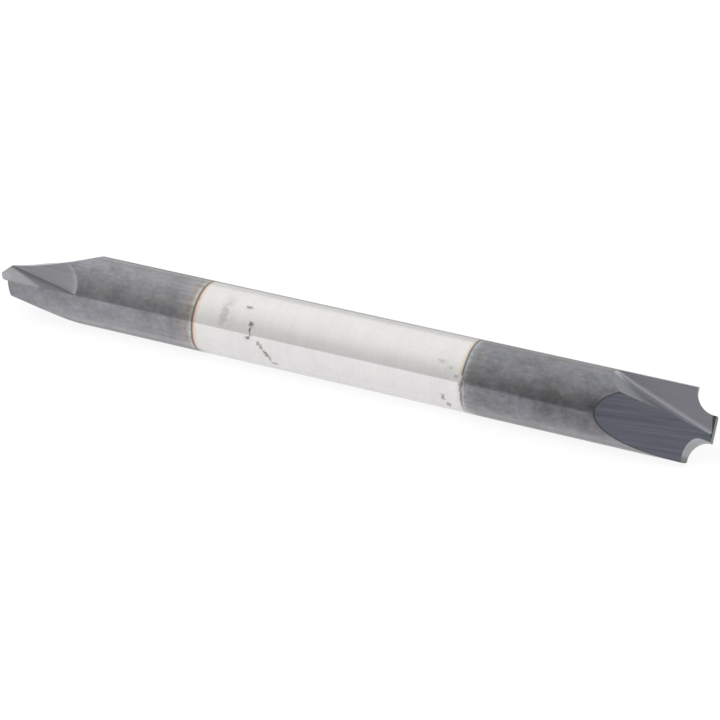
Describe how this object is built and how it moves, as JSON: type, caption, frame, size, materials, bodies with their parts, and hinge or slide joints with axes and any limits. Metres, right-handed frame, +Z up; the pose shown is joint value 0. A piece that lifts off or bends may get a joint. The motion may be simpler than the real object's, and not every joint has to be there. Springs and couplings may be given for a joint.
{
  "type": "corner rounding end mill",
  "caption": "Solid carbide corner rounding end mill, fluted at both ends, with a plain ground shank and coated concave-radius cutting forms",
  "frame": {"origin": "on the cutter's axis at mid-length", "axes": "+X along the axis towards the right-hand end of the picture, +Z up as it lies in the picture, +Y away from the camera"},
  "size_m": [0.1016, 0.0096, 0.0096],
  "materials": {
    "ground_carbide": "centreless-ground bright carbide in the middle, dark grey hard coating on both fluted ends"
  },
  "bodies": {
    "root": {"corner_rounding_end_mill": "ground_carbide"}
  },
  "joints": []
}
